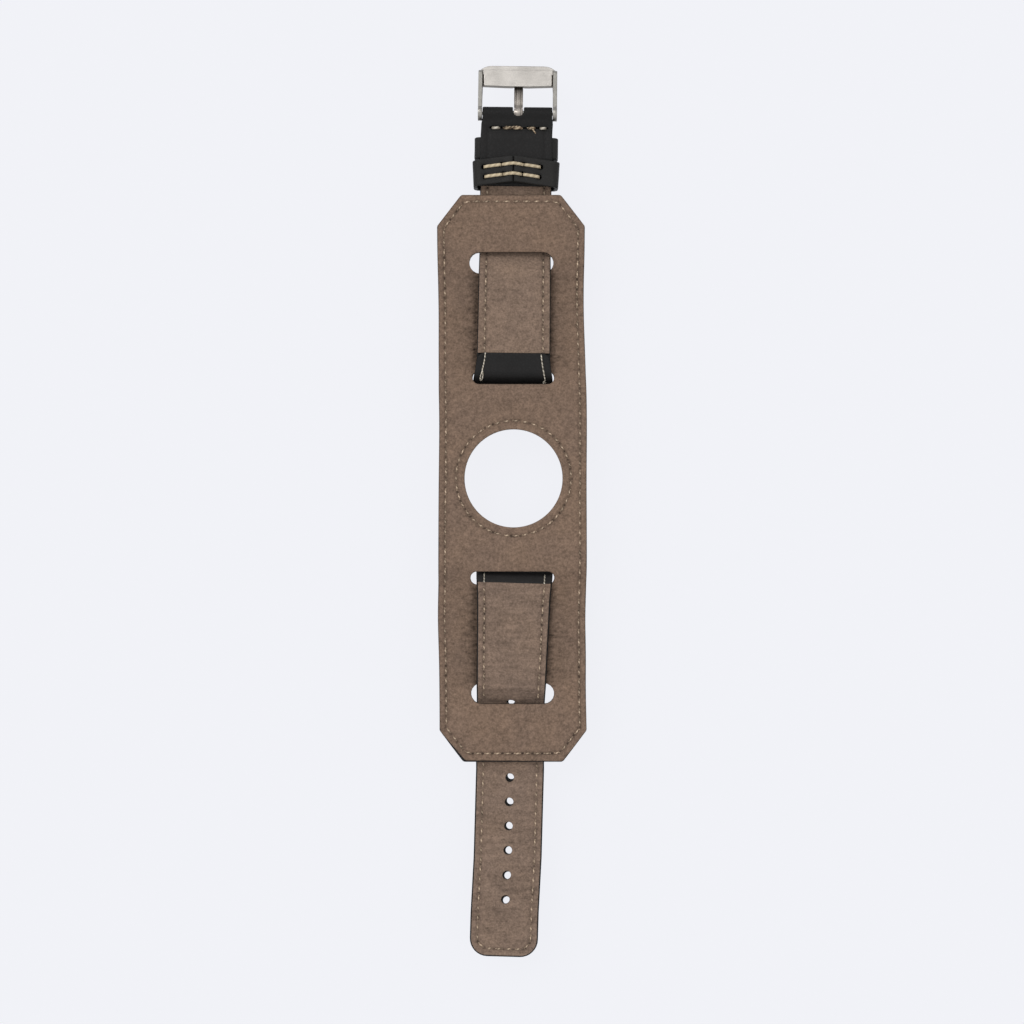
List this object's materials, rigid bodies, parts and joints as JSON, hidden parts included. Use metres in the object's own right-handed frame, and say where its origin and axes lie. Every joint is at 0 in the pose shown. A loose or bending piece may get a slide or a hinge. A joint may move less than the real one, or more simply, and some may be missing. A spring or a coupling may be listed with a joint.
{
  "type": "bund watch strap",
  "caption": "Leather bund watch strap: two straps woven through a wide wrist pad with a round opening, with keepers and a pin buckle",
  "frame": {"origin": "centre of the watch opening, on the outer face of the pad", "axes": "+X across the strap, +Y towards the buckle, +Z towards the wrist; it lies on its outer face with the lining up"},
  "size_m": [0.038, 0.2302, 0.0094],
  "materials": {
    "outer_leather": "matte",
    "nubuck_lining": "nubuck",
    "fibre_board": "bonded fibre",
    "thread": "waxed",
    "brushed_steel": "fine brushed",
    "bar_steel": "drawn"
  },
  "bodies": {
    "strap": {"pad_leather": "outer_leather", "pad_stiffener": "fibre_board", "pad_lining": "nubuck_lining", "pad_edge_stitches": "thread", "opening_stitches": "thread", "buckle_strap_leather": "outer_leather", "buckle_strap_stiffener": "fibre_board", "buckle_strap_lining": "nubuck_lining", "buckle_strap_stitches": "thread", "fold_stitches": "thread", "tail_strap_leather": "outer_leather", "tail_strap_stiffener": "fibre_board", "tail_strap_lining": "nubuck_lining", "tail_strap_stitches": "thread", "fixed_keeper": "outer_leather", "spring_bar_tube": "bar_steel", "spring_bar_spring": "bar_steel"},
    "frame": {"buckle_frame": "brushed_steel"},
    "tongue": {"buckle_tongue": "brushed_steel"},
    "sliding_keeper": {"sliding_keeper": "outer_leather", "keeper_stitches": "thread"},
    "pin_left": {"spring_bar_pin_left": "bar_steel"},
    "pin_right": {"spring_bar_pin_right": "bar_steel"}
  },
  "joints": [
    {"name": "buckle_hinge", "type": "hinge", "parent": "strap", "child": "frame", "pos_m": [0.00099, 0.0938, 0.0008], "axis": [0.9999, -0.0117, 0], "range_deg": [-30, 100]},
    {"name": "tongue_hinge", "type": "hinge", "parent": "frame", "child": "tongue", "pos_m": [0.00099, 0.0938, 0.0008], "axis": [-0.9999, 0.0117, 0], "range_deg": [0, 70]},
    {"name": "keeper_slide", "type": "slide", "parent": "strap", "child": "sliding_keeper", "axis": [0.0117, 0.9999, 0], "range_m": [-0.0015, 0.0006]},
    {"name": "pin_left_slide", "type": "slide", "parent": "strap", "child": "pin_left", "axis": [0.9999, -0.0117, 0], "range_m": [0, 0.001], "stiffness_N_per_m": 900, "springref_m": -0.0006, "deforming": ["spring_bar_spring"]},
    {"name": "pin_right_slide", "type": "slide", "parent": "strap", "child": "pin_right", "axis": [-0.9999, 0.0117, 0], "range_m": [0, 0.001], "stiffness_N_per_m": 900, "springref_m": -0.0006, "deforming": ["spring_bar_spring"]}
  ]
}
